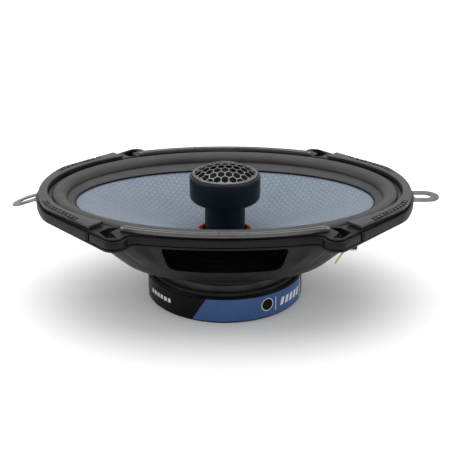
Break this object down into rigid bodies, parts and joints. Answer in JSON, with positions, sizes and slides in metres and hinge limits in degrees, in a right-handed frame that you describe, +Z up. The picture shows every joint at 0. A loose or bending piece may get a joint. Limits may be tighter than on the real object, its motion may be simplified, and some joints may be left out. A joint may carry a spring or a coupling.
{
  "type": "coaxial car speaker",
  "caption": "Oval coaxial car speaker with woven cone, rubber roll surround, central post tweeter, pressed steel basket and ferrite magnet motor.",
  "frame": {"origin": "centre of the magnet boot's flat underside", "axes": "+X along the oval's long axis towards the terminal end, +Z up the voice-coil axis towards the listener, -Y the front"},
  "size_m": [0.2585, 0.16, 0.0819],
  "materials": {
    "painted_steel": "satin black coating",
    "frame_plastic": "fine moulded grain",
    "trim_plastic": "satin",
    "surround_rubber": "matte",
    "cone_weave": "woven cone with pressed hexagons, satin",
    "gloss_black": "gloss",
    "dark_steel": "black passivated",
    "zinc_steel": "zinc plated",
    "tab_steel": "plain stamped",
    "ferrite": "sintered",
    "neodymium": "nickel plated",
    "former_film": "amber polyimide film",
    "copper_wire": "enamelled",
    "spider_cloth": "resin-dipped cloth",
    "label_film": "laminated label",
    "silk": "coated silk",
    "fibre_board": "phenolic board",
    "brass": "plated",
    "red_wire": "insulation",
    "orange_wire": "insulation",
    "capacitor_sleeve": "shrink sleeve"
  },
  "bodies": {
    "frame": {"basket": "painted_steel", "mounting_ring": "frame_plastic", "end_trim_left": "trim_plastic", "end_trim_right": "trim_plastic", "side_trim_front": "trim_plastic", "side_trim_rear": "trim_plastic", "mounting_tab_left": "tab_steel", "mounting_tab_right": "tab_steel", "tab_rivet_left": "zinc_steel", "tab_rivet_right": "zinc_steel", "surround": "surround_rubber", "spider": "spider_cloth", "top_plate": "dark_steel", "magnet": "ferrite", "yoke": "dark_steel", "magnet_boot": "surround_rubber", "label": "label_film", "plate_rivet_1": "zinc_steel", "plate_rivet_2": "zinc_steel", "plate_rivet_3": "zinc_steel", "plate_rivet_4": "zinc_steel", "tweeter_post": "gloss_black", "post_screw": "zinc_steel", "post_nut": "zinc_steel", "tweeter_housing": "gloss_black", "tweeter_grille": "dark_steel", "tweeter_surround": "silk", "tweeter_faceplate": "frame_plastic", "tweeter_plate": "dark_steel", "tweeter_magnet": "neodymium", "tweeter_yoke": "dark_steel", "tweeter_lead_red": "red_wire", "tweeter_lead_orange": "orange_wire", "terminal_board": "fibre_board", "terminal_positive": "brass", "terminal_negative": "brass", "terminal_rivet_positive": "brass", "terminal_rivet_negative": "brass", "tinsel_lead_positive": "copper_wire", "tinsel_lead_negative": "copper_wire", "crossover_capacitor": "capacitor_sleeve"},
    "woofer": {"cone": "cone_weave", "voice_coil_former": "former_film", "voice_coil": "copper_wire"},
    "tweeter": {"tweeter_dome": "silk", "tweeter_voice_coil": "copper_wire"}
  },
  "joints": [
    {"name": "woofer_travel", "type": "slide", "parent": "frame", "child": "woofer", "axis": [0, 0, 1], "range_m": [-0.004, 0.004], "stiffness_N_per_m": 2500, "deforming": ["surround", "spider", "tinsel_lead_positive", "tinsel_lead_negative", "tweeter_lead_red", "tweeter_lead_orange"]},
    {"name": "tweeter_travel", "type": "slide", "parent": "frame", "child": "tweeter", "axis": [0, 0, 1], "range_m": [-0.0004, 0.0004], "stiffness_N_per_m": 5000, "deforming": ["tweeter_surround"]}
  ]
}
